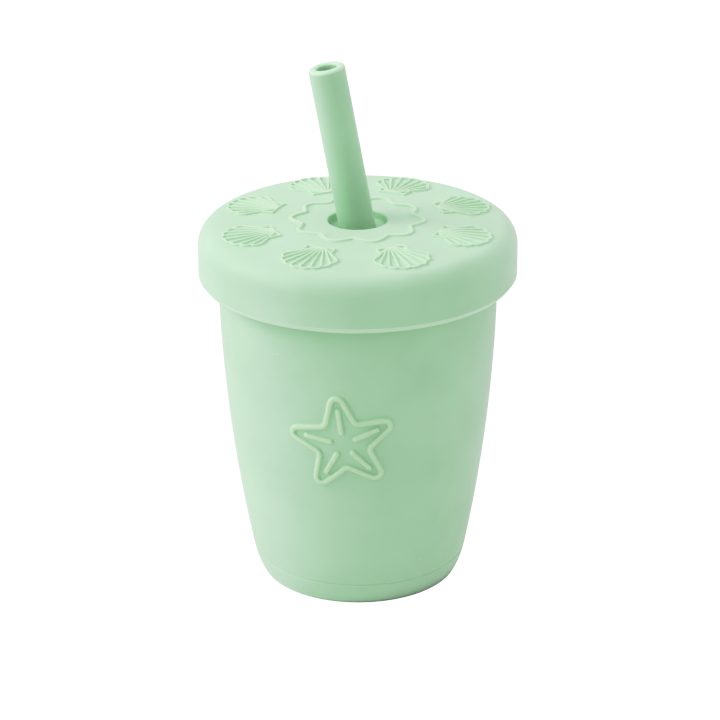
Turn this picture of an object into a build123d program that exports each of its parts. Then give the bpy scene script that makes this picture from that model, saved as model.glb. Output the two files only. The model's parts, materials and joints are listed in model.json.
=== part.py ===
from build123d import *
from math import atan, atan2, cos, degrees, hypot, radians, sin, sqrt
import os

# A silicone straw cup for a small child: a one-piece tapered cup, a push-on lid with a moulded
# relief, and a thick soft straw that leans in the lid's hole.
# Millimetres, +Z up. The origin is the centre of the base, level with what the cup stands on.
# The straw leans towards -X, and the cup's raised motif faces -Y.

# Cup: outside
FOOT_R = 26.61  # just above the base's small rounded edge
FOOT_EDGE = 0.8
CORNER_R = 28.81  # the corner's curve runs from the foot to here, tangent to the wall
CORNER_Z = 7.17
BELLY_R = 34.60  # the wall bulges a little on its way up
BELLY_Z = 45.37
NECK_R = 36.90  # where the lid's skirt ends
NECK_Z = 85.18
GROOVE_Z = 6.6  # fine mould line round the base
GROOVE_W = 0.8
GROOVE_D = 0.25
FOOT_RECESS_R = 19.0
FOOT_RECESS_D = 0.8

# Cup: inside and rim
WALL = 3.0
FLOOR_Z = 4.0
FLOOR_FILLET = 5.0
RIM_Z = 95.5
BEAD_R = 37.8
BEAD_Z = 89.0  # underside of the bead that the skirt grips
BEAD_SLOPE_H = 1.6
RIM_FILLET = 1.2

# Lid
LID_R = 42.0
LID_TOP_Z = 99.35
LID_BOTTOM_Z = 83.6
DOME_R = 800.0  # the top is very slightly domed
EDGE_ACROSS = 4.9  # the elliptical rounding of the top edge
EDGE_DOWN = 5.5
CHAMFER_ACROSS = 1.2
CHAMFER_UP = 1.6
SKIRT_INNER_R = 38.1
PLUG_OUTER_R = 33.5  # the ring that goes inside the cup's mouth
PLUG_INNER_R = 31.1
PLUG_BOTTOM_Z = 88.5
PLUG_FILLET = 0.9
WELL_R = 7.87
WELL_FLOOR_Z = 96.75
BOSS_R = 11.5  # thickening under the well
BOSS_BOTTOM_Z = 94.2
SMALL_FILLET = 0.6

# Straw
STRAW_R = 4.78
STRAW_BORE_R = 2.75
STRAW_LEAN = 10.05  # degrees from upright
STRAW_PIVOT_Z = 97.0  # where its axis crosses the cup's
STRAW_ABOVE = 44.6  # length beyond that point, and short of it
STRAW_BELOW = 91.5
STRAW_LIP_FILLET = 1.0
HOLE_CLEARANCE = 0.06

# Relief on the lid
RELIEF_H = 0.45
RIB_W = 0.65
SHELL_COUNT = 8
SHELL_FIRST = 21.3  # degrees from +X to the first shell
SHELL_HINGE_R = 22.9
SHELL_LENGTH = 13.9
SHELL_WIDTH = 14.4
FAN_HALF_ANGLE = 48.0
LOBES = 8
LOBE_BULGE = 0.55
HINGE_HALF_W = 3.7
HINGE_DISH = 0.2
EAR_H = 3.3
FAN_ROOT_U = 1.6  # where the fan's straight sides start, beside the hinge
FAN_ROOT_V = 0.9
RING_LOBE_R = 17.6  # centre of the raised line, at a lobe and at a notch before it is softened
RING_NOTCH_R = 14.6
RING_NOTCH_FILLET = 1.6
RING_WAVES = 10
RING_PHASE = -4.5
RING_W = 1.1

# Raised starfish on the cup's front
STAR_X = -4.0
STAR_Z = 50.5
STAR_TIP_R = 16.5
STAR_NOTCH_R = 6.6
STAR_FILLET = 1.6
STAR_ARMS = 5
STAR_TILT = 8.0
STAR_W = 1.5
STAR_H = 0.7
STAR_RIB_FROM = 2.6
STAR_RIB_TO = 10.4


def turned(profile_lines):
    """The solid of revolution about Z of a closed outline in the XZ plane."""
    return revolve(Plane.XZ * make_face(profile_lines), Axis.Z)


def polar(radius, angle):
    return (radius * cos(radians(angle)), radius * sin(radians(angle)))


def outer_wall(offset=0.0):
    """The cup's bulging side, from the corner curve to the neck, moved outward by offset."""
    return ThreePointArc(
        (CORNER_R + offset, CORNER_Z), (BELLY_R + offset, BELLY_Z), (NECK_R + offset, NECK_Z)
    )


def cup_solid():
    outside = outer_wall()
    corner = TangentArc(outside @ 0, (FOOT_R, FOOT_EDGE), tangent=-(outside % 0))
    foot_edge = CenterArc((FOOT_R - FOOT_EDGE, FOOT_EDGE), FOOT_EDGE, -90, 90)
    foot = (FLOOR_Z + FLOOR_FILLET - CORNER_Z) / (NECK_Z - CORNER_Z)
    inside = outer_wall(-WALL).trim(foot, 1)
    wall_foot = inside @ 0
    inner_corner = EllipticalCenterArc(
        (wall_foot.X - FLOOR_FILLET, wall_foot.Y),
        FLOOR_FILLET,
        wall_foot.Y - FLOOR_Z,
        start_angle=-90,
        arc_size=90,
    )
    neck = Polyline((NECK_R, NECK_Z), (NECK_R, BEAD_Z), (BEAD_R, BEAD_Z + BEAD_SLOPE_H))
    rim = Polyline(neck @ 1, (BEAD_R, RIM_Z), (NECK_R - WALL, RIM_Z), (NECK_R - WALL, NECK_Z))
    base = Polyline((wall_foot.X - FLOOR_FILLET, FLOOR_Z), (0, FLOOR_Z), (0, 0), foot_edge @ 0)
    body = turned([foot_edge, corner, outside, neck, rim, inside, inner_corner, base])
    at_rim = body.edges().filter_by_position(Axis.Z, RIM_Z, RIM_Z)
    body = fillet(at_rim, RIM_FILLET)
    recess = Pos(0, 0, FOOT_RECESS_D / 2) * Cylinder(FOOT_RECESS_R, FOOT_RECESS_D)
    wall_r = (corner @ ((CORNER_Z - GROOVE_Z) / (CORNER_Z - FOOT_EDGE))).X
    groove = turned(
        Polyline(
            (wall_r - GROOVE_D, GROOVE_Z),
            (wall_r + GROOVE_D, GROOVE_Z + GROOVE_W),
            (wall_r + GROOVE_D, GROOVE_Z - GROOVE_W),
            close=True,
        )
    )
    return body - recess - groove + starfish_relief()


def starfish_relief():
    """A line-drawn starfish: a rounded five-armed outline with a rib along each arm."""
    step = 360 / STAR_ARMS
    upright = 90 + STAR_TILT
    corners = []
    for arm in range(STAR_ARMS):
        corners.append(polar(STAR_TIP_R, upright + arm * step))
        corners.append(polar(STAR_NOTCH_R, upright + (arm + 0.5) * step))
    star = make_face(Polyline(*corners, close=True))
    star = fillet(star.vertices(), STAR_FILLET)
    strokes = offset(star, STAR_W / 2) - offset(star, -STAR_W / 2)
    for arm in range(STAR_ARMS):
        middle = polar((STAR_RIB_FROM + STAR_RIB_TO) / 2, upright + arm * step)
        rib = SlotOverall(STAR_RIB_TO - STAR_RIB_FROM, STAR_W, rotation=upright + arm * step)
        strokes += Pos(*middle) * rib
    front = Plane(origin=(STAR_X, 0, STAR_Z), x_dir=(1, 0, 0), z_dir=(0, -1, 0))
    prism = extrude(front * strokes, 2 * NECK_R, dir=(0, -1, 0))
    inner = outer_wall(-WALL / 2)
    outer = outer_wall(STAR_H)
    layer = turned([inner, outer, Line(inner @ 0, outer @ 0), Line(inner @ 1, outer @ 1)])
    return layer & prism


def dome_z(radius):
    """Height of the lid's top at that distance from the middle."""
    return LID_TOP_Z - DOME_R + sqrt(DOME_R**2 - radius**2)


def lid_top(offset=0.0):
    """The domed top and its rounded outer edge, from the middle to the skirt."""
    edge_r = LID_R - EDGE_ACROSS
    slope = edge_r / sqrt(DOME_R**2 - edge_r**2)
    start = atan(slope * EDGE_ACROSS / EDGE_DOWN)
    edge_z = dome_z(edge_r) - EDGE_DOWN
    meet_r = edge_r + EDGE_ACROSS * sin(start)
    meet_z = edge_z + EDGE_DOWN * cos(start)
    half_r = meet_r / 2
    half_z = (LID_TOP_Z + meet_z) / 2 + meet_r**2 / (8 * DOME_R)
    edge = EllipticalCenterArc(
        (edge_r, edge_z + offset),
        EDGE_ACROSS,
        EDGE_DOWN,
        start_angle=0,
        arc_size=90 - degrees(start),
    )
    dome = ThreePointArc(
        (0, LID_TOP_Z + offset), (half_r, half_z + offset), (meet_r, meet_z + offset)
    )
    return [dome, edge]


def lid_solid():
    top = lid_top()
    skirt_top = top[1] @ 0
    below = Polyline(
        (skirt_top.X, skirt_top.Y),
        (LID_R, LID_BOTTOM_Z + CHAMFER_UP),
        (LID_R - CHAMFER_ACROSS, LID_BOTTOM_Z),
        (SKIRT_INNER_R, LID_BOTTOM_Z),
        (SKIRT_INNER_R, RIM_Z),
        (PLUG_OUTER_R, RIM_Z),
        (PLUG_OUTER_R, PLUG_BOTTOM_Z),
        (PLUG_INNER_R, PLUG_BOTTOM_Z),
        (PLUG_INNER_R, RIM_Z),
        (BOSS_R, RIM_Z),
        (BOSS_R, BOSS_BOTTOM_Z),
        (0, BOSS_BOTTOM_Z),
        (0, LID_TOP_Z),
    )
    body = turned([*top, below])
    plug_foot = body.edges().filter_by_position(Axis.Z, PLUG_BOTTOM_Z, PLUG_BOTTOM_Z)
    body = fillet(plug_foot, PLUG_FILLET)
    body += relief_layer() & shell_relief()
    body += relief_layer() & ring_relief()
    well_h = LID_TOP_Z - WELL_FLOOR_Z + 1
    well = Cylinder(WELL_R, well_h)
    well = fillet(well.edges().group_by(Axis.Z)[0], SMALL_FILLET)
    body -= Pos(0, 0, WELL_FLOOR_Z + well_h / 2) * well
    hole = on_straw_axis(Cylinder(STRAW_R + HOLE_CLEARANCE, STRAW_ABOVE))
    return body - hole


def relief_layer():
    """The thin layer on the lid's top that the relief is cut from."""
    dome = lid_top(RELIEF_H)[0]
    end = dome @ 1
    sides = Polyline((end.X, end.Y), (end.X, RIM_Z + 1), (0, RIM_Z + 1), (0, LID_TOP_Z + RELIEF_H))
    return turned([dome, sides])


def stroke(start, end, width=RIB_W):
    """A straight raised line with round ends, from start to end."""
    across, along = end[0] - start[0], end[1] - start[1]
    middle = ((start[0] + end[0]) / 2, (start[1] + end[1]) / 2)
    line = SlotOverall(hypot(across, along) + width, width, rotation=degrees(atan2(along, across)))
    return Pos(*middle) * line


def shell_sketch():
    """One line-drawn fan shell, its hinge at (0, 0) and its fan towards +Y."""
    fan_r = SHELL_WIDTH / 2
    fan_y = SHELL_LENGTH - fan_r

    def rim_point(angle):
        """Where the line from the hinge at that angle off +Y meets the fan's round edge."""
        a = radians(angle)
        reach = fan_y * cos(a) + sqrt(fan_r**2 - (fan_y * sin(a)) ** 2) - LOBE_BULGE / 2
        return (reach * sin(a), reach * cos(a))

    lobe = 2 * FAN_HALF_ANGLE / LOBES
    angles = [-FAN_HALF_ANGLE + lobe * i for i in range(LOBES + 1)]
    notches = [rim_point(a) for a in angles]
    edges = []
    for a, left, right in zip(angles, notches, notches[1:]):
        crest = Vector(rim_point(a + lobe / 2))
        crest += crest.normalized() * LOBE_BULGE
        edges.append(ThreePointArc(left, crest, right))
    strokes = trace(edges, RIB_W)
    for notch in notches[1:-1]:
        strokes += stroke((0, 0), notch)
    for side in (-1, 1):
        root = (side * FAN_ROOT_U, FAN_ROOT_V)
        tip = notches[0] if side < 0 else notches[-1]
        along = (EAR_H - root[1]) / (tip[1] - root[1])
        ear = (root[0] + along * (tip[0] - root[0]), EAR_H)
        strokes += stroke(root, tip)
        strokes += stroke((side * HINGE_HALF_W, 0), ear)
        strokes += stroke((side * HINGE_HALF_W, 0), (0, HINGE_DISH))
    return strokes


def shell_relief():
    prism = extrude(shell_sketch(), 2 * RIM_Z, dir=(0, 0, 1))
    step = 360 / SHELL_COUNT
    return Compound(
        [
            Rot(0, 0, SHELL_FIRST + i * step - 90) * Pos(0, SHELL_HINGE_R, 0) * prism
            for i in range(SHELL_COUNT)
        ]
    )


def ring_relief():
    """The wavy raised ring round the well: round lobes with softened notches between them."""
    half_lobe = 180 / RING_WAVES
    edges = []
    for i in range(RING_WAVES):
        tip = RING_PHASE + 2 * half_lobe * i
        start = polar(RING_NOTCH_R, tip - half_lobe)
        end = polar(RING_NOTCH_R, tip + half_lobe)
        edges.append(ThreePointArc(start, polar(RING_LOBE_R, tip), end))
    ring = make_face(edges)
    ring = fillet(ring.vertices(), RING_NOTCH_FILLET)
    strokes = offset(ring, RING_W / 2) - offset(ring, -RING_W / 2)
    return extrude(strokes, 2 * RIM_Z, dir=(0, 0, 1))


def on_straw_axis(shape):
    lean = radians(STRAW_LEAN)
    across, along = (cos(lean), 0, sin(lean)), (-sin(lean), 0, cos(lean))
    return Plane(origin=(0, 0, STRAW_PIVOT_Z), x_dir=across, z_dir=along) * shape


def straw_solid():
    length = STRAW_ABOVE + STRAW_BELOW
    tube = Cylinder(STRAW_R, length) - Cylinder(STRAW_BORE_R, length)
    tube = fillet(tube.edges().filter_by(GeomType.CIRCLE), STRAW_LIP_FILLET)
    return on_straw_axis(Pos(0, 0, (STRAW_ABOVE - STRAW_BELOW) / 2) * tube)


os.makedirs("parts", exist_ok=True)
export_step(cup_solid(), "parts/cup.step")
export_step(lid_solid(), "parts/lid.step")
export_step(straw_solid(), "parts/straw.step")
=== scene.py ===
"""Looks of a child's silicone straw cup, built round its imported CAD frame.

Metres, +Z up, in the CAD's own frame: the origin is the centre of the base, the raised starfish
faces -Y and the straw leans towards -X. Each of the three mouldings is one closed mesh.
"""

import json
import math

import bmesh
import bpy
import numpy as np
from mathutils import Matrix, Vector
from mathutils.geometry import delaunay_2d_cdt


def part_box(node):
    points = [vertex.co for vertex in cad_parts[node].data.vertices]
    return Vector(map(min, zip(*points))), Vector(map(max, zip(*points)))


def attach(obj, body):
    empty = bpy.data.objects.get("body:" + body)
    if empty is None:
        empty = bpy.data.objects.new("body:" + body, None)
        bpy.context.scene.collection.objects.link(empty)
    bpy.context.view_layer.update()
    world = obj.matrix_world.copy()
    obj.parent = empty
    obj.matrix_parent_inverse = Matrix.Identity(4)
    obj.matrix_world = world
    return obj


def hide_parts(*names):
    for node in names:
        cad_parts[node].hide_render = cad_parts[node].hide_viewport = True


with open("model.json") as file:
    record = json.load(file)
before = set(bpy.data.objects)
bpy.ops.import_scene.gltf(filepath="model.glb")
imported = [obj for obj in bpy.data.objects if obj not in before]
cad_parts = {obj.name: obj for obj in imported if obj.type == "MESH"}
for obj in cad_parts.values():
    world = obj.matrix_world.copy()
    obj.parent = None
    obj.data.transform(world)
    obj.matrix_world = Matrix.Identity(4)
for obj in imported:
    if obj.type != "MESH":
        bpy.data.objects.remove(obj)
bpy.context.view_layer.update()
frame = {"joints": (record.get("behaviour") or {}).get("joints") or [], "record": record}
record = frame["record"]

MM = 0.001
COLUMNS = 192  # vertices round each ring of the cup and the lid
STRAW_COLUMNS = 96

WELD = 2e-6  # vertices nearer than this are one
NOTHING = 1e-9

# Where the CAD says the pieces are
RIM_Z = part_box("cup")[1].z
LID_BOTTOM_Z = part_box("lid")[0].z

# Cup
FOOT_R, FOOT_EDGE = 26.61 * MM, 0.8 * MM
CORNER_R, CORNER_Z = 28.81 * MM, 7.17 * MM
BELLY_R, BELLY_Z = 34.60 * MM, 45.37 * MM
NECK_R, NECK_Z = 36.90 * MM, 85.18 * MM
GROOVE_Z, GROOVE_HALF_W, GROOVE_DEPTH = 6.6 * MM, 0.4 * MM, 0.22 * MM
FOOT_RECESS_R, FOOT_RECESS_DEPTH = 19.0 * MM, 0.8 * MM
WALL = 3.0 * MM
FLOOR_Z, FLOOR_FILLET = 4.0 * MM, 5.0 * MM
BEAD_R, BEAD_Z = 37.8 * MM, 89.0 * MM
RIM_FILLET = 1.2 * MM

# Lid; its well is a little narrower and shallower than the CAD's
LID_R = 42.0 * MM
LID_TOP_Z = LID_BOTTOM_Z + 15.75 * MM  # its middle, under the relief
DOME_R = 800.0 * MM
EDGE_ACROSS, EDGE_DOWN = 4.9 * MM, 5.5 * MM
CHAMFER_ACROSS, CHAMFER_UP = 1.2 * MM, 1.6 * MM
SKIRT_INNER_R = 38.1 * MM
PLUG_OUTER_R, PLUG_INNER_R, PLUG_BOTTOM_Z = 33.5 * MM, 31.1 * MM, 88.5 * MM
WELL_R, WELL_FLOOR_Z, WELL_LIP = 7.75 * MM, 96.9 * MM, 0.5 * MM
BOSS_R, BOSS_BOTTOM_Z = 11.5 * MM, 94.2 * MM
RELIEF_EDGE_R = 38.4 * MM  # the relief's sheet ends here, on the rounded edge

# Straw
STRAW_R, STRAW_BORE_R = 4.78 * MM, 2.75 * MM
STRAW_LIP = 1.0 * MM  # the ends are rounded over this length
STRAW_ROWS = 40
HOLE_CLEARANCE = 0.06 * MM
HOLE_BEVEL = 0.15 * MM
HOLE_MARGIN = 1.5 * MM  # flat floor left round the straw before the oblique hole

# Relief on the lid
SHELL_COUNT, SHELL_FIRST = 8, 21.3
SHELL_HINGE_R = 22.9 * MM
SHELL_LENGTH, SHELL_WIDTH = 13.9 * MM, 14.4 * MM
FAN_FOCUS = 1.2 * MM  # how far behind the hinge the ribs would meet
FAN_HALF_ANGLE = 43.0
LOBES, LOBE_BULGE = 8, 0.55 * MM
HINGE_HALF_W, HINGE_DISH = 3.7 * MM, 0.2 * MM
EAR_H = 3.3 * MM
FAN_ROOT = (1.6 * MM, 0.9 * MM)
RING_LOBE_R, RING_NOTCH_R = 17.5 * MM, 14.9 * MM
RING_WAVES, RING_PHASE = 10, -4.5
RING_LOBE_POWER = 0.8  # below 1, the lobes are rounder than the notches
WAVE_POINTS = 24
SHELL_SOFT = 0.05 * MM  # how far crossing lines of a shell melt together

# Raised starfish on the cup's front
STAR_X, STAR_Z = -4.0 * MM, 50.5 * MM
STAR_TIP_R, STAR_NOTCH_R = 16.5 * MM, 6.6 * MM
STAR_TIP_FILLET, STAR_NOTCH_FILLET = 1.6 * MM, 1.6 * MM
STAR_ARMS, STAR_TILT = 5, 8.0
STAR_RIB_FROM, STAR_RIB_TO = 3.4 * MM, 9.6 * MM
STAR_PATCH_HALF = 19.5 * MM
STAR_SOFT = 0.12 * MM


class Line:
    """The cross-section of a raised line: flat to top, then falling to nothing at foot."""

    def __init__(self, height, top, foot):
        self.height, self.top, self.foot = height, top, foot

    def rise(self, distance):
        t = np.clip((self.foot - distance) / (self.foot - self.top), 0, 1)
        return self.height * t * t * (3 - 2 * t)

    def tone(self, distance):
        """1 along the top, -1 in the crease beside the foot, 0 away from the line: where the
        material paints a highlight on the top and a shade in the crease.
        """
        at = (0, self.top, 0.85 * self.foot, 1.5 * self.foot)
        return np.interp(distance, at, (1, 1, -1, 0))

    def flanks(self):
        """Distances from the middle at which the mesh follows the line."""
        slope = self.foot - self.top
        return [0, self.top] + [self.top + slope * k for k in (0.25, 0.5, 0.75, 1.0, 1.4)]


RIB = Line(0.50 * MM, 0.15 * MM, 0.38 * MM)
CORD = Line(0.55 * MM, 0.36 * MM, 0.76 * MM)
EMBLEM = Line(0.7 * MM, 0.42 * MM, 0.95 * MM)


# Outlines ------------------------------------------------------------------------------------


def polar(radius, degrees):
    a = math.radians(degrees)
    return (radius * math.cos(a), radius * math.sin(a))


def circle_through(a, b, c):
    """(centre x, centre y, radius) of the circle through three points."""
    (ax, ay), (bx, by), (cx, cy) = a, b, c
    turn = 2 * (ax * (by - cy) + bx * (cy - ay) + cx * (ay - by))
    a2, b2, c2 = ax * ax + ay * ay, bx * bx + by * by, cx * cx + cy * cy
    ox = (a2 * (by - cy) + b2 * (cy - ay) + c2 * (ay - by)) / turn
    oy = (a2 * (cx - bx) + b2 * (ax - cx) + c2 * (bx - ax)) / turn
    return ox, oy, math.hypot(ax - ox, ay - oy)


def arc(start, middle, end, count=24):
    """Points of the circle's arc through three points."""
    ox, oy, radius = circle_through(start, middle, end)
    first = math.atan2(start[1] - oy, start[0] - ox)
    last = math.atan2(end[1] - oy, end[0] - ox)
    sweep = (last - first + math.pi) % math.tau - math.pi
    angles = first + sweep * np.linspace(0, 1, count)
    return [(ox + radius * math.cos(a), oy + radius * math.sin(a)) for a in angles]


def ellipse(centre, across, up, first, last, count=16):
    """Points of an ellipse's arc, from first to last in degrees."""
    angles = np.radians(np.linspace(first, last, count))
    return [(centre[0] + across * math.cos(a), centre[1] + up * math.sin(a)) for a in angles]


def rounded(corners, steps=6, closed=False):
    """An outline through (x, y, radius) corners, each rounded to its radius."""
    points = []
    spots = [np.array(c[:2]) for c in corners]
    for i, (x, y, radius) in enumerate(corners):
        end = i in (0, len(corners) - 1) and not closed
        if end or radius == 0:
            points.append((x, y))
            continue
        before = spots[i - 1] - spots[i]
        after = spots[(i + 1) % len(spots)] - spots[i]
        before, after = before / np.linalg.norm(before), after / np.linalg.norm(after)
        half = math.acos(np.clip(before @ after, -1, 1)) / 2
        middle = before + after
        centre = spots[i] + middle / np.linalg.norm(middle) * radius / math.sin(half)
        start = spots[i] + before * radius / math.tan(half) - centre
        finish = spots[i] + after * radius / math.tan(half) - centre
        turn = math.pi - 2 * half
        for t in np.linspace(0, 1, steps + 1):
            a, b = math.sin((1 - t) * turn), math.sin(t * turn)
            points.append(tuple(centre + (a * start + b * finish) / math.sin(turn)))
    return points


# The cup's and the lid's own curves ----------------------------------------------------------


WALL_OX, WALL_OZ, WALL_RADIUS = circle_through(
    (CORNER_R, CORNER_Z), (BELLY_R, BELLY_Z), (NECK_R, NECK_Z)
)


def corner_circle():
    """(centre x, centre z, radius) of the curve from the foot that runs on into the wall."""
    out, up = (CORNER_R - WALL_OX) / WALL_RADIUS, (CORNER_Z - WALL_OZ) / WALL_RADIUS
    across, rise = CORNER_R - FOOT_R, CORNER_Z - FOOT_EDGE
    radius = (across**2 + rise**2) / (2 * (across * out + rise * up))
    return CORNER_R - radius * out, CORNER_Z - radius * up, radius


TURN_OX, TURN_OZ, TURN_RADIUS = corner_circle()


def wall_r(z):
    """The cup's outer radius at a height: its bulging side, or the curve of the corner below."""
    side = WALL_OX + np.sqrt(WALL_RADIUS**2 - (z - WALL_OZ) ** 2)
    corner = TURN_OX + np.sqrt(TURN_RADIUS**2 - (np.minimum(z, CORNER_Z) - TURN_OZ) ** 2)
    return np.where(z < CORNER_Z, corner, side)


def lid_top_z(radius):
    """Height of the lid's top at a distance from the middle: the dome, then the round edge."""
    dome = LID_TOP_Z - DOME_R + np.sqrt(DOME_R**2 - radius**2)
    edge_r = LID_R - EDGE_ACROSS
    edge_z = LID_TOP_Z - DOME_R + math.sqrt(DOME_R**2 - edge_r**2) - EDGE_DOWN
    slope = edge_r / math.sqrt(DOME_R**2 - edge_r**2)
    meet_r = edge_r + EDGE_ACROSS * math.sin(math.atan(slope * EDGE_ACROSS / EDGE_DOWN))
    share = np.clip((radius - edge_r) / EDGE_ACROSS, 0, 1)
    edge = edge_z + EDGE_DOWN * np.sqrt(1 - share**2)
    return np.where(radius < meet_r, dome, edge)


# Relief lines --------------------------------------------------------------------------------


def shell_strokes():
    """The lines of one fan shell, its hinge at (0, 0) and its fan towards +Y."""
    fan_r = SHELL_WIDTH / 2
    fan_y = SHELL_LENGTH - fan_r
    lift = fan_y + FAN_FOCUS

    def rim_point(degrees, out=0.0):
        a = math.radians(degrees)
        reach = lift * math.cos(a) + math.sqrt(fan_r**2 - (lift * math.sin(a)) ** 2)
        reach += out - LOBE_BULGE / 2
        return (reach * math.sin(a), reach * math.cos(a) - FAN_FOCUS)

    lobe = 2 * FAN_HALF_ANGLE / LOBES
    angles = [-FAN_HALF_ANGLE + lobe * i for i in range(LOBES + 1)]
    notches = [rim_point(a) for a in angles]
    rim = []
    for a, left, right in zip(angles, notches, notches[1:]):
        rim += arc(left, rim_point(a + lobe / 2, LOBE_BULGE), right, 9)
    strokes = [rim]
    for a, notch in zip(angles[1:-1], notches[1:-1]):
        foot = math.tan(math.radians(a)) * (FAN_FOCUS + HINGE_DISH)
        strokes.append([(foot, HINGE_DISH), notch])
    strokes.append(arc((-HINGE_HALF_W, 0), (0, HINGE_DISH), (HINGE_HALF_W, 0), 13))
    for side, tip in ((-1, notches[0]), (1, notches[-1])):
        root = (side * FAN_ROOT[0], FAN_ROOT[1])
        along = (EAR_H - root[1]) / (tip[1] - root[1])
        ear = (root[0] + along * (tip[0] - root[0]), EAR_H)
        strokes.append([root, tip])
        strokes.append([(side * HINGE_HALF_W, 0), ear])
    return strokes


def ring_stroke():
    """The wavy ring round the well."""
    points = []
    for i in range(RING_WAVES * WAVE_POINTS + 1):
        wave = 0.5 + 0.5 * math.cos(math.tau * i / WAVE_POINTS)
        radius = RING_NOTCH_R + (RING_LOBE_R - RING_NOTCH_R) * wave**RING_LOBE_POWER
        points.append(polar(radius, RING_PHASE + 360 * i / (RING_WAVES * WAVE_POINTS)))
    return points


def star_strokes():
    """The starfish's outline and the rib of each arm, about (0, 0)."""
    step = 360 / STAR_ARMS
    upright = 90 + STAR_TILT
    corners, ribs = [], []
    for arm in range(STAR_ARMS):
        along = upright + arm * step
        corners.append((*polar(STAR_TIP_R, along), STAR_TIP_FILLET))
        corners.append((*polar(STAR_NOTCH_R, along + step / 2), STAR_NOTCH_FILLET))
        ribs.append([polar(STAR_RIB_FROM, along), polar(STAR_RIB_TO, along)])
    outline = rounded(corners, closed=True)
    return [outline + outline[:1], *ribs]


def even(points, step):
    """A line's points, again at even distances of about step."""
    points = np.array(points, float)
    lengths = np.r_[0, np.cumsum(np.linalg.norm(np.diff(points, axis=0), axis=1))]
    count = max(2, round(lengths[-1] / step) + 1)
    at = np.linspace(0, lengths[-1], count)
    return np.c_[np.interp(at, lengths, points[:, 0]), np.interp(at, lengths, points[:, 1])]


def distance_to(points, line):
    """Each point's distance to a line of straight pieces."""
    line = np.array(line, float)
    nearest = np.full(len(points), np.inf)
    for a, b in zip(line, line[1:]):
        along = b - a
        size = max(along @ along, 1e-18)
        t = np.clip((points - a) @ along / size, 0, 1)
        gap = points - a - t[:, None] * along
        nearest = np.minimum(nearest, np.hypot(gap[:, 0], gap[:, 1]))
    return nearest


def joined_distance(points, strokes, soft):
    """Distance to the nearest of several lines, softened where they meet."""
    total = sum(np.exp(-distance_to(points, s) / soft) for s in strokes)
    return np.maximum(-soft * np.log(np.maximum(total, 1e-30)), 0)


def beside(strokes, profile, step):
    """Points along the strokes and beside them, where the mesh needs them."""
    found = []
    for stroke in strokes:
        line = even(stroke, step)
        along = np.gradient(line, axis=0)
        along /= np.linalg.norm(along, axis=1)[:, None]
        across = np.c_[-along[:, 1], along[:, 0]]
        for flank in profile.flanks():
            for side in (1, -1) if flank else (1,):
                found.append(line + side * flank * across)
            if flank:
                for end in (line[0], line[-1]):
                    found.append(end + [polar(flank, 45 * k) for k in range(8)])
    return np.concatenate(found)


def spread(points, gap):
    """The points, without those nearer than gap to an earlier one."""
    cells, kept = {}, []
    for p in points:
        cell = (math.floor(p[0] / gap), math.floor(p[1] / gap))
        near = [
            q
            for dx in (-1, 0, 1)
            for dy in (-1, 0, 1)
            for q in cells.get((cell[0] + dx, cell[1] + dy), ())
        ]
        if any((p[0] - q[0]) ** 2 + (p[1] - q[1]) ** 2 < gap * gap for q in near):
            continue
        cells.setdefault(cell, []).append(p)
        kept.append(p)
    return np.array(kept)


# Meshes --------------------------------------------------------------------------------------


class Moulding:
    """The vertices and faces of one closed mesh."""

    def __init__(self):
        self.places, self.faces, self.crests, self.size = [], [], [], 0

    def add(self, points, crest=0.0):
        """Adds vertices and returns their numbers; crest is 1 on a raised line, -1 in the crease
        beside one, 2 on a thin lip: where the material paints a highlight, a shade and a paler lip.
        """
        points = np.array(points, float).reshape(-1, 3)
        self.places.append(points)
        self.crests.append(np.broadcast_to(crest, len(points)))
        self.size += len(points)
        return np.arange(self.size - len(points), self.size)

    def bridge(self, low, high, skip=()):
        """Joins two rings of the same count with quads."""
        count = len(low)
        for i in range(count):
            if i not in skip:
                j = (i + 1) % count
                self.faces.append((low[i], low[j], high[j], high[i]))

    def fan(self, ring, centre):
        tip = self.add([centre])[0]
        for i in range(len(ring)):
            self.faces.append((ring[i], ring[(i + 1) % len(ring)], tip))

    def lathe(self, profile, previous=None):
        """Rings about Z through a profile's (radius, height, crest or none), and returns them."""
        rings = []
        for radius, z, *crest in profile:
            if radius < NOTHING:
                self.fan(previous, (0, 0, z))
                continue
            ring = self.add(circle(radius, z), *crest)
            if previous is not None:
                self.bridge(previous, ring)
            rings.append(ring)
            previous = ring
        return rings

    def sheet(self, outlines, inner, place, hole_r=0.0):
        """A sheet through flat points: closed outlines first, then inner points.

        Triangles whose middle is within hole_r of the origin are left out.
        """
        flat = [Vector(p) for o in outlines for p in o] + [Vector(p) for p in inner]
        edges, start = [], 0
        for o in outlines:
            edges += [(start + i, start + (i + 1) % len(o)) for i in range(len(o))]
            start += len(o)
        spots, _, triangles, *_ = delaunay_2d_cdt(flat, edges, [], 0, NOTHING)
        spots = np.array(spots)
        numbers = self.add(*place(spots))
        for a, b, c in triangles:
            if math.hypot(*(spots[a] + spots[b] + spots[c]) / 3) >= hole_r:
                self.faces.append((numbers[a], numbers[b], numbers[c]))

    def finish(self, name, body, node, slot, material):
        """Makes the object, joined up, smooth, in its material and riding on its body."""
        mesh = bpy.data.meshes.new(name)
        faces = [tuple(map(int, f)) for f in self.faces]
        mesh.from_pydata(np.concatenate(self.places).tolist(), [], faces)
        obj = bpy.data.objects.new(name, mesh)
        bpy.context.scene.collection.objects.link(obj)
        crest = mesh.attributes.new("crest", "FLOAT", "POINT")
        crest.data.foreach_set("value", np.concatenate(self.crests))
        join_up(mesh)
        mesh.materials.append(material)
        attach(obj, body)
        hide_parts(node)
        return obj


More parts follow.
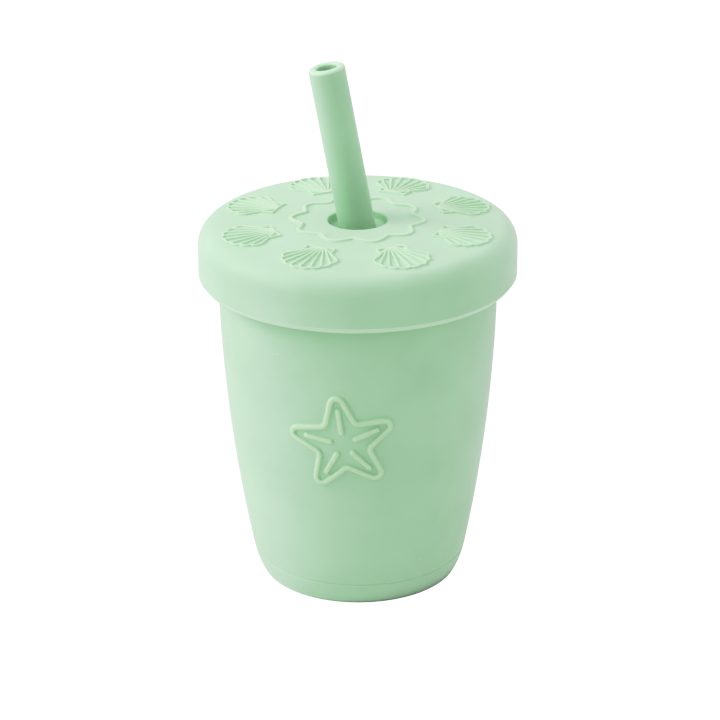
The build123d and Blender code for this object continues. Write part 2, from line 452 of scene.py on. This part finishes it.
def join_up(mesh):
    """Welds doubled vertices, turns every face outward and shades smooth."""
    work = bmesh.new()
    work.from_mesh(mesh)
    bmesh.ops.remove_doubles(work, verts=work.verts, dist=WELD)
    bmesh.ops.recalc_face_normals(work, faces=work.faces)
    loose = [v for v in work.verts if not v.link_faces]
    bmesh.ops.delete(work, geom=loose, context="VERTS")
    work.to_mesh(mesh)
    work.free()
    for face in mesh.polygons:
        face.use_smooth = True


def angles(count=COLUMNS):
    """Angles round from -Y towards +X, which every ring shares."""
    return np.arange(count) * math.tau / count


def circle(radius, z, count=COLUMNS):
    a = angles(count)
    return np.c_[radius * np.sin(a), -radius * np.cos(a), np.full(count, z)]


def build_cup(material):
    cup = Moulding()
    foot = rounded(
        [
            (0, FOOT_RECESS_DEPTH, 0),
            (FOOT_RECESS_R, FOOT_RECESS_DEPTH, 0.35 * MM),
            (FOOT_RECESS_R, 0, 0.3 * MM),
            (float(wall_r(0)), 0, FOOT_EDGE),
            (float(wall_r(1.4 * FOOT_EDGE)), 1.4 * FOOT_EDGE, 0),
        ]
    )[1:]
    rings = cup.lathe(foot)
    cup.fan(rings[0], (0, 0, FOOT_RECESS_DEPTH))

    # The side, with a fine mould line near the base and a patch left open for the starfish
    corner_rows = np.linspace(2 * MM, 5.6 * MM, 6)
    groove_rows = GROOVE_Z + GROOVE_HALF_W * np.linspace(-1.2, 1.2, 13)
    wall_rows = np.linspace(8 * MM, NECK_Z, 66)
    rows = np.r_[corner_rows, groove_rows, wall_rows]
    low = int(np.argmin(abs(rows - (STAR_Z - STAR_PATCH_HALF))))
    high = int(np.argmin(abs(rows - (STAR_Z + STAR_PATCH_HALF))))
    middle = round(math.asin(STAR_X / wall_r(STAR_Z)) / math.tau * COLUMNS)
    reach = math.ceil(STAR_PATCH_HALF / wall_r(STAR_Z) / math.tau * COLUMNS)
    patch = [(middle + k) % COLUMNS for k in range(-reach, reach)]
    ring = rings[-1]
    for number, z in enumerate(rows):
        dip = GROOVE_DEPTH * math.exp(-(((z - GROOVE_Z) / (0.55 * GROOVE_HALF_W)) ** 2))
        new = cup.add(circle(wall_r(z) - dip, z))
        cup.bridge(ring, new, patch if low < number <= high else ())
        ring = new
    star_patch(cup, rows[low : high + 1], middle, reach)

    # Neck, bead, rim, and down the inside to the floor
    inner_foot = FLOOR_Z + FLOOR_FILLET
    inside_r = NECK_R - WALL
    rim = rounded(
        [
            (NECK_R, NECK_Z, 0),
            (NECK_R, BEAD_Z, 1.2 * MM),
            (BEAD_R, BEAD_Z + 1.6 * MM, 1.0 * MM),
            (BEAD_R, RIM_Z, RIM_FILLET),
            (inside_r, RIM_Z, RIM_FILLET),
            (inside_r, NECK_Z, 0),
        ]
    )[1:]
    inner_wall = [(wall_r(z) - WALL, z) for z in np.linspace(NECK_Z, inner_foot, 24)][1:]
    turn_r = wall_r(inner_foot) - WALL - FLOOR_FILLET
    inner_corner = ellipse((turn_r, inner_foot), FLOOR_FILLET, FLOOR_FILLET, 0, -90, 14)[1:]
    floor = [(turn_r * k, FLOOR_Z) for k in (0.75, 0.5, 0.25, 0)]
    cup.lathe([*rim, *inner_wall, *inner_corner, *floor], ring)
    return cup.finish("cup_moulding", "cup", "cup", "cup_silicone", material)


def star_patch(cup, rows, middle, reach):
    """The part of the cup's side that bears the raised starfish."""
    flat_r = wall_r(STAR_Z)  # flat points are (angle times this, height)
    turns = (middle + np.arange(-reach, reach + 1)) * math.tau / COLUMNS * flat_r

    def on_side(points):
        points = np.array(points) + (STAR_X, STAR_Z)
        return np.c_[np.arcsin(points[:, 0] / wall_r(points[:, 1])) * flat_r, points[:, 1]]

    strokes = [on_side(even(s, 0.4 * MM)) for s in star_strokes()]

    def place(flat):
        distance = joined_distance(flat, strokes, STAR_SOFT)
        radius = wall_r(flat[:, 1]) + EMBLEM.rise(distance)
        a = flat[:, 0] / flat_r
        spots = np.c_[radius * np.sin(a), -radius * np.cos(a), flat[:, 1]]
        return spots, EMBLEM.tone(distance)

    low, high = rows[0], rows[-1]
    outline = [(t, low) for t in turns] + [(turns[-1], z) for z in rows[1:]]
    outline += [(t, high) for t in turns[-2::-1]] + [(turns[0], z) for z in rows[-2:0:-1]]
    near = spread(beside(strokes, EMBLEM, 0.4 * MM), 0.12 * MM)
    gap = 1.1 * MM
    grid = [
        (x, z)
        for x in np.arange(turns[0] + gap, turns[-1] - gap / 2, gap)
        for z in np.arange(low + gap, high - gap / 2, gap)
    ]
    grid = np.array(grid)
    far = grid[joined_distance(grid, strokes, STAR_SOFT) > 1.5 * EMBLEM.foot]
    cup.sheet([outline], [*near, *far], place)


def lid_relief_strokes():
    """Every raised line on the lid, as (strokes, profile)."""
    shells = []
    for i in range(SHELL_COUNT):
        turn = math.radians(SHELL_FIRST + i * 360 / SHELL_COUNT - 90)
        spin = np.array([[math.cos(turn), -math.sin(turn)], [math.sin(turn), math.cos(turn)]])
        for stroke in shell_strokes():
            shells.append((np.array(stroke) + (0, SHELL_HINGE_R)) @ spin.T)
    return [(shells, RIB), ([np.array(ring_stroke())], CORD)]


def lid_distances(flat):
    """Flat points' distances to the shells and to the ring.

    All shells are folded onto one, and all the ring's waves onto one.
    """
    radius = np.hypot(flat[:, 0], flat[:, 1])
    angle = np.degrees(np.arctan2(flat[:, 1], flat[:, 0]))

    def folded(degrees):
        return np.c_[radius * np.cos(np.radians(degrees)), radius * np.sin(np.radians(degrees))]

    step = 360 / SHELL_COUNT
    spot = folded((angle - SHELL_FIRST + step / 2) % step - step / 2 + 90)
    shell = joined_distance(spot - (0, SHELL_HINGE_R), shell_strokes(), SHELL_SOFT)
    spot = folded((angle - RING_PHASE) % (360 / RING_WAVES) + RING_PHASE)
    return shell, distance_to(spot, ring_stroke()[: WAVE_POINTS + 1])


def lid_relief(flat):
    """Height and tone of the relief at flat points."""
    shell, ring = lid_distances(flat)
    return np.maximum(RIB.rise(shell), CORD.rise(ring)), RIB.tone(shell) + CORD.tone(ring)


def lid_clear(flat):
    """Which flat points lie well clear of the lid's raised lines."""
    shell, ring = lid_distances(flat)
    return (shell > 1.7 * RIB.foot) & (ring > 1.6 * CORD.foot)


def build_lid(material):
    lid = Moulding()
    well_r = WELL_R + WELL_LIP

    # The top, a sheet from the well's lip to the rounded edge
    outer = circle(RELIEF_EDGE_R, 0)[:, :2]
    inner = circle(well_r, 0)[:, :2]
    near = np.concatenate([beside(s, p, 0.36 * MM) for s, p in lid_relief_strokes()])
    radius = np.hypot(near[:, 0], near[:, 1])
    near = near[(radius > well_r + 0.3 * MM) & (radius < RELIEF_EDGE_R - 0.3 * MM)]
    near = spread(near, 0.11 * MM)
    gap = 1.2 * MM
    far = np.array(
        [
            polar(r, 360 * (k + 0.5 * (n % 2)) / round(math.tau * r / gap))
            for n, r in enumerate(np.arange(well_r + 0.6 * MM, RELIEF_EDGE_R - gap / 2, gap))
            for k in range(round(math.tau * r / gap))
        ]
    )
    far = far[lid_clear(far)]

    def place(flat):
        rise, tone = lid_relief(flat)
        return np.c_[flat, lid_top_z(np.hypot(*flat.T)) + rise], tone

    hole_r = well_r * math.cos(math.pi / COLUMNS) * 0.9999  # just inside the well's polygon
    lid.sheet([outer, inner], [*near, *far], place, hole_r)

    # The rounded edge, the skirt, and the underside as far as the boss
    edge = [
        (r, float(lid_top_z(r)))
        for r in LID_R - (LID_R - RELIEF_EDGE_R) * (1 - np.sin(np.linspace(0, math.pi / 2, 22)))
    ]
    skirt = rounded(
        [
            (LID_R, LID_BOTTOM_Z + 2 * CHAMFER_UP, 0),
            (LID_R, LID_BOTTOM_Z + CHAMFER_UP, 0.25 * MM),
            (LID_R - CHAMFER_ACROSS, LID_BOTTOM_Z, 0.3 * MM),
            (SKIRT_INNER_R, LID_BOTTOM_Z, 0.5 * MM),
            (SKIRT_INNER_R, RIM_Z, 0.4 * MM),
            (PLUG_OUTER_R, RIM_Z, 0.15 * MM),
            (PLUG_OUTER_R, PLUG_BOTTOM_Z, 0.9 * MM),
            (PLUG_INNER_R, PLUG_BOTTOM_Z, 0.9 * MM),
            (PLUG_INNER_R, RIM_Z, 1.0 * MM),
            (BOSS_R, RIM_Z, 0.5 * MM),
            (BOSS_R, BOSS_BOTTOM_Z, 0.5 * MM),
            (STRAW_R + HOLE_MARGIN, BOSS_BOTTOM_Z, 0),
        ]
    )
    # Painted highlight: the chamfered lip at the skirt's foot is marked 2, so its colour is painted
    # paler
    lip_top = LID_BOTTOM_Z + 0.97 * CHAMFER_UP
    skirt = [(r, z, 2.0 * (r > SKIRT_INNER_R + 0.3 * MM and z < lip_top)) for r, z in skirt]
    underside = lid.lathe([*edge, *skirt])[-1]

    # The well's lip, wall and floor
    lip_z = float(lid_top_z(well_r))
    lip = ellipse((well_r, lip_z - WELL_LIP), WELL_LIP, WELL_LIP, 90, 180, 9)
    foot = rounded(
        [
            (WELL_R, lip_z - WELL_LIP, 0),
            (WELL_R, WELL_FLOOR_Z, 0.6 * MM),
            (STRAW_R + HOLE_MARGIN, WELL_FLOOR_Z, 0),
        ]
    )[1:]
    well_floor = lid.lathe([*lip, *foot])[-1]

    # The straw's hole, oblique through the floor
    axis = straw_axis()
    previous = well_floor
    for z, widen in (
        (WELL_FLOOR_Z, HOLE_BEVEL),
        (WELL_FLOOR_Z - HOLE_BEVEL, 0),
        (BOSS_BOTTOM_Z + HOLE_BEVEL, 0),
        (BOSS_BOTTOM_Z, HOLE_BEVEL),
    ):
        centre = straw_pivot() + axis * (z - straw_pivot().z) / axis.z
        spots = circle(STRAW_R + HOLE_CLEARANCE + widen, z)
        spots[:, 0] = centre.x + spots[:, 0] / axis.z
        ring = lid.add(spots)
        lid.bridge(previous, ring)
        previous = ring
    lid.bridge(previous, underside)
    return lid.finish("lid_moulding", "lid", "lid", "lid_silicone", material)


def straw_axis():
    joint = next(j for j in frame["joints"] if j["child"] == "straw")
    return Vector(joint["axis"]).normalized()


def straw_pivot():
    mount = next(m for m in record["mounts"] if m["name"] == "straw_bore")
    return Vector(mount["pos_m"])


def build_straw(material):
    """A thick tube with soft lips, along its leaning axis."""
    axis, pivot = straw_axis(), straw_pivot()
    low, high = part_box("straw")
    overhang = STRAW_LIP + (STRAW_R - STRAW_LIP) * math.hypot(axis.x, axis.y)
    top = (high.z - overhang - pivot.z) / axis.z + STRAW_LIP
    bottom = (low.z + overhang - pivot.z) / axis.z - STRAW_LIP
    length = np.linspace(bottom + STRAW_LIP, top - STRAW_LIP, STRAW_ROWS)
    profile = [(STRAW_R, z) for z in length]
    profile += rounded(
        [
            (STRAW_R, top - STRAW_LIP, 0),
            (STRAW_R, top, 0.9 * MM),
            (STRAW_BORE_R, top, 0.7 * MM),
            (STRAW_BORE_R, top - STRAW_LIP, 0),
        ]
    )[1:]
    profile += [(STRAW_BORE_R, z) for z in length[-2::-1]]
    profile += rounded(
        [
            (STRAW_BORE_R, bottom + STRAW_LIP, 0),
            (STRAW_BORE_R, bottom, 0.7 * MM),
            (STRAW_R, bottom, 0.9 * MM),
            (STRAW_R, bottom + STRAW_LIP, 0),
        ]
    )[1:-1]
    side = Vector((0, 1, 0)).cross(axis).normalized()
    turn = np.array((side, (0, 1, 0), axis))
    straw = Moulding()
    rings = []
    for r, z in profile:
        ring = circle(r, z, STRAW_COLUMNS) @ turn + np.array(pivot)
        # Painted highlight: the straw's top lip is marked 2, so its colour is painted paler
        on_lip = z > top - 0.75 * STRAW_LIP and r > STRAW_BORE_R
        rings.append(straw.add(ring, 2.0 * on_lip))
    for a, b in zip(rings, [*rings[1:], rings[0]]):
        straw.bridge(a, b)
    return straw.finish("straw_tube", "straw", "straw", "straw_silicone", material)


# Material ------------------------------------------------------------------------------------


MINT = (0.436, 0.70, 0.462)
# Painted highlight: the raised lines' tops are made paler in colour
CREST_HIGHLIGHT = (1.20, 1.12, 1.06)  # the raised lines' tops are paler
# Painted shade: the creases beside the raised lines are made darker in colour
CREASE_SHADE = (0.96, 0.98, 0.95)  # the creases beside them are a little darker
# Painted highlight: the thin lips are made paler in colour, for the light that comes through them
LIP_TINT = (1.26, 1.18, 1.20)  # light comes through the thin lips
# Painted shade: the straw's colour is made darker towards the lid: (height, tint) where it starts
# and ends
STRAW_PAINTED_SHADE = ((98 * MM, (0.70, 0.74, 0.72)), (122 * MM, (0.97, 0.96, 0.97)))


def silicone(name, colour, fine_seed, painted_shade=None):
    """Matte moulded silicone: soft inner glow, a fine blasted grain, faint mottling and dust, with
    painted highlight on raised lines and thin lips and painted shade in the creases beside the
    lines.

    The last argument, if given, is two (height, tint) pairs between which the colour changes: a
    painted shade between the two heights.
    """
    material = bpy.data.materials.new(name)
    material.use_nodes = True
    nodes, links = material.node_tree.nodes, material.node_tree.links
    shader = nodes["Principled BSDF"]
    shader.inputs["IOR"].default_value = 1.41
    shader.inputs["Specular IOR Level"].default_value = 0.5
    shader.inputs["Subsurface Weight"].default_value = 0.3
    shader.inputs["Subsurface Radius"].default_value = (1.0, 1.0, 1.0)
    shader.inputs["Subsurface Scale"].default_value = 1.2 * MM
    shader.inputs["Sheen Weight"].default_value = 0.35
    shader.inputs["Sheen Roughness"].default_value = 0.45
    place = nodes.new("ShaderNodeTexCoord").outputs["Object"]

    def noise(scale, detail, w):
        node = nodes.new("ShaderNodeTexNoise")
        node.noise_dimensions = "4D"
        node.inputs["Scale"].default_value = scale
        node.inputs["Detail"].default_value = detail
        node.inputs["W"].default_value = w
        links.new(place, node.inputs["Vector"])
        return node.outputs["Fac"]

    def between(value, low, high, out_low, out_high):
        node = nodes.new("ShaderNodeMapRange")
        node.inputs["From Min"].default_value = low
        node.inputs["From Max"].default_value = high
        node.inputs["To Min"].default_value = out_low
        node.inputs["To Max"].default_value = out_high
        links.new(value, node.inputs["Value"])
        return node.outputs["Result"]

    def mix(factor, a, b):
        node = nodes.new("ShaderNodeMix")
        node.data_type = "RGBA"
        for socket, value in ((node.inputs[6], a), (node.inputs[7], b)):
            if isinstance(value, tuple):
                socket.default_value = (*value, 1)
            else:
                links.new(value, socket)
        links.new(factor, node.inputs[0])
        return node.outputs[2]

    darker = tuple(c * 0.965 for c in colour)
    lighter = tuple(min(1, c * 1.03 + 0.008) for c in colour)
    body = mix(between(noise(55, 3, fine_seed), 0.35, 0.65, 0, 1), darker, lighter)
    dust = nodes.new("ShaderNodeTexVoronoi")
    dust.inputs["Scale"].default_value = 110
    links.new(place, dust.inputs["Vector"])
    speck = between(dust.outputs["Distance"], 0.018, 0.026, 1, 0)
    chosen = nodes.new("ShaderNodeMath")
    chosen.operation = "GREATER_THAN"
    chosen.inputs[1].default_value = 0.72
    split = nodes.new("ShaderNodeSeparateColor")
    links.new(dust.outputs["Color"], split.inputs[0])
    links.new(split.outputs[0], chosen.inputs[0])
    amount = nodes.new("ShaderNodeMath")
    amount.operation = "MULTIPLY"
    links.new(speck, amount.inputs[0])
    links.new(chosen.outputs[0], amount.inputs[1])
    pale = tuple(min(1, c * 1.12 + 0.05) for c in colour)
    crest = nodes.new("ShaderNodeAttribute")
    crest.attribute_name = "crest"
    crest_highlight = tuple(min(1, c * a) for c, a in zip(colour, CREST_HIGHLIGHT))
    shaded = tuple(c * a for c, a in zip(colour, CREASE_SHADE))
    # Painted shade in the creases beside the raised lines
    body = mix(between(crest.outputs["Fac"], -1.0, 0.0, 1, 0), body, shaded)
    # Painted highlight on the raised lines' tops
    body = mix(between(crest.outputs["Fac"], 0.2, 1.0, 0, 1), body, crest_highlight)
    glow = tuple(min(1, c * a) for c, a in zip(colour, LIP_TINT))
    # Painted highlight on the thin lips
    body = mix(between(crest.outputs["Fac"], 1.2, 2.0, 0, 1), body, glow)
    body = mix(amount.outputs[0], body, pale)
    # Painted shade: the colour is multiplied by a tint that changes with height
    if painted_shade:
        height = nodes.new("ShaderNodeSeparateXYZ")
        links.new(place, height.inputs[0])
        (low, low_tone), (high, high_tone) = painted_shade
        tone = between(height.outputs["Z"], low, high, 0, 1)
        scale = nodes.new("ShaderNodeMix")
        scale.data_type, scale.blend_type = "RGBA", "MULTIPLY"
        scale.inputs[0].default_value = 1
        links.new(body, scale.inputs[6])
        links.new(mix(tone, low_tone, high_tone), scale.inputs[7])
        body = scale.outputs[2]
    links.new(body, shader.inputs["Base Color"])
    links.new(between(noise(900, 2, fine_seed), 0.3, 0.7, 0.46, 0.56), shader.inputs["Roughness"])

    grain = nodes.new("ShaderNodeBump")
    grain.inputs["Strength"].default_value = 0.25
    grain.inputs["Distance"].default_value = 0.02 * MM
    links.new(noise(2600, 2, fine_seed + 1), grain.inputs["Height"])
    swell = nodes.new("ShaderNodeBump")
    swell.inputs["Strength"].default_value = 0.3
    swell.inputs["Distance"].default_value = 0.12 * MM
    links.new(noise(70, 1, fine_seed + 2), swell.inputs["Height"])
    links.new(grain.outputs["Normal"], swell.inputs["Normal"])
    links.new(swell.outputs["Normal"], shader.inputs["Normal"])
    return material


# Stage ---------------------------------------------------------------------------------------

VIEW_ELEVATION = 23.283  # degrees
VIEW_DISTANCE = 774.3 * MM
VIEW_TARGET = Vector((0, 0, 50 * MM))
VIEW_AIM_UP, VIEW_AIM_RIGHT = 8.64 * MM, 0.41 * MM
VIEW_ROLL = -0.36  # degrees
LENS = 144.165


def build_camera():
    e = math.radians(VIEW_ELEVATION)
    back = Vector((0, -math.cos(e), math.sin(e)))
    up = Vector((0, math.sin(e), math.cos(e)))
    data = bpy.data.cameras.new("camera")
    data.lens = LENS
    data.sensor_width = 36
    camera = bpy.data.objects.new("camera", data)
    bpy.context.scene.collection.objects.link(camera)
    camera.location = VIEW_TARGET + back * VIEW_DISTANCE
    aim = VIEW_TARGET + up * VIEW_AIM_UP + Vector((VIEW_AIM_RIGHT, 0, 0))
    look = (aim - camera.location).to_track_quat("-Z", "Y").to_matrix()
    roll = Matrix.Rotation(math.radians(VIEW_ROLL), 3, "Z")
    camera.rotation_euler = (look @ roll).to_euler()
    bpy.context.scene.camera = camera


# The tent's light from a direction: TENT plus the direction's dot product with TENT_SLOPE
TENT = 0.42
TENT_SLOPE = (-0.40, -0.03, 0.50)
# White softboxes: name, place, size across, watts
SOFTBOXES = (
    ("key", (-0.83, -0.05, 0.60), 0.6, 5.7),
    ("overhead", (0.1, 0.05, 1.1), 0.8, 2.7),
    ("right", (0.9, 0.0, 0.35), 0.6, 1.6),
    ("back_right", (0.6, 0.65, 0.35), 0.6, 0.8),
)
# The camera's response: what a linear brightness is shown as, rolling off the highlights
FILM_CURVE = (
    (0, 0),
    (0.3, 0.28),
    (0.55, 0.56),
    (0.92, 0.80),
    (1.1, 0.88),
    (1.4, 1.0),
    (2.0, 1.0),
)
FLOOR_REACH = 6.0
PAPER = 0.5
PAPER_GLOW = 0.29  # stands for the light that the rest of the table throws back
BACKDROP = 1.6
CONTACT_R, CONTACT_X = 27.0 * MM, 1.2 * MM  # the shade under the cup, off to its right


def build_stage():
    """White paper that lights and shades the cup, and a clean white backdrop in its place."""
    paper, look = build_floor("floor_paper", FLOOR_REACH, 0)
    look.inputs["Base Color"].default_value = (PAPER, PAPER, PAPER, 1)
    look.inputs["Emission Color"].default_value = (1, 1, 1, 1)
    look.inputs["Emission Strength"].default_value = PAPER_GLOW
    paper.visible_camera = False
    contact, look = build_floor("floor_contact", CONTACT_R, 0.05 * MM)
    look.inputs["Base Color"].default_value = (0, 0, 0, 1)
    contact.location.x = CONTACT_X
    contact.visible_camera = False
    backdrop, look = build_floor("floor_backdrop", FLOOR_REACH, 0)
    look.inputs["Base Color"].default_value = (0, 0, 0, 1)
    look.inputs["Emission Color"].default_value = (1, 1, 1, 1)
    look.inputs["Emission Strength"].default_value = BACKDROP
    backdrop.visible_diffuse = False
    backdrop.visible_glossy = False
    backdrop.visible_transmission = False
    backdrop.visible_shadow = False
    build_tent()
    for softbox in SOFTBOXES:
        build_softbox(*softbox)


def build_floor(name, reach, z):
    """A round flat sheet about the cup, and the shader of its material."""
    mesh = bpy.data.meshes.new(name)
    corners = circle(reach, z, 64)
    mesh.from_pydata(corners.tolist(), [], [tuple(range(len(corners)))])
    floor = bpy.data.objects.new(name, mesh)
    bpy.context.scene.collection.objects.link(floor)
    look = bpy.data.materials.new(name)
    look.use_nodes = True
    shader = look.node_tree.nodes["Principled BSDF"]
    shader.inputs["Roughness"].default_value = 0.9
    shader.inputs["Specular IOR Level"].default_value = 0.0
    mesh.materials.append(look)
    return floor, shader


def build_tent():
    """A white light tent, brightest above and to the left, as the world's background."""
    world = bpy.data.worlds.new("tent")
    world.use_nodes = True
    nodes, links = world.node_tree.nodes, world.node_tree.links
    direction = nodes.new("ShaderNodeTexCoord").outputs["Generated"]
    slope = nodes.new("ShaderNodeVectorMath")
    slope.operation = "DOT_PRODUCT"
    slope.inputs[1].default_value = TENT_SLOPE
    links.new(direction, slope.inputs[0])
    level = nodes.new("ShaderNodeMath")
    level.operation = "ADD"
    level.inputs[1].default_value = TENT
    links.new(slope.outputs["Value"], level.inputs[0])
    bright = nodes.new("ShaderNodeMath")
    bright.operation = "MAXIMUM"
    bright.inputs[1].default_value = 0.02
    links.new(level.outputs[0], bright.inputs[0])
    background = nodes["Background"]
    background.inputs["Color"].default_value = (1, 1, 1, 1)
    links.new(bright.outputs[0], background.inputs["Strength"])
    bpy.context.scene.world = world


def build_softbox(name, place, size, watts):
    data = bpy.data.lights.new(name, "AREA")
    data.size = size
    data.energy = watts
    light = bpy.data.objects.new(name, data)
    light.location = place
    aim = VIEW_TARGET - light.location
    light.rotation_euler = aim.to_track_quat("-Z", "Y").to_euler()
    bpy.context.scene.collection.objects.link(light)


def set_film():
    view = bpy.context.scene.view_settings
    view.view_transform = "Standard"
    view.use_curve_mapping = True
    mapping = view.curve_mapping
    mapping.use_clip = False
    for channel in mapping.curves[:3]:
        points = channel.points
        points[0].location, points[1].location = FILM_CURVE[0], FILM_CURVE[-1]
        for x, y in FILM_CURVE[1:-1]:
            points.new(x, y)
        for point in points:
            point.handle_type = "VECTOR"
    mapping.update()


set_film()
build_camera()
build_stage()
build_cup(silicone("cup_silicone_look", MINT, 1.0))
build_lid(silicone("lid_silicone_look", MINT, 2.0))
build_straw(silicone("straw_silicone_look", MINT, 3.0, STRAW_PAINTED_SHADE))
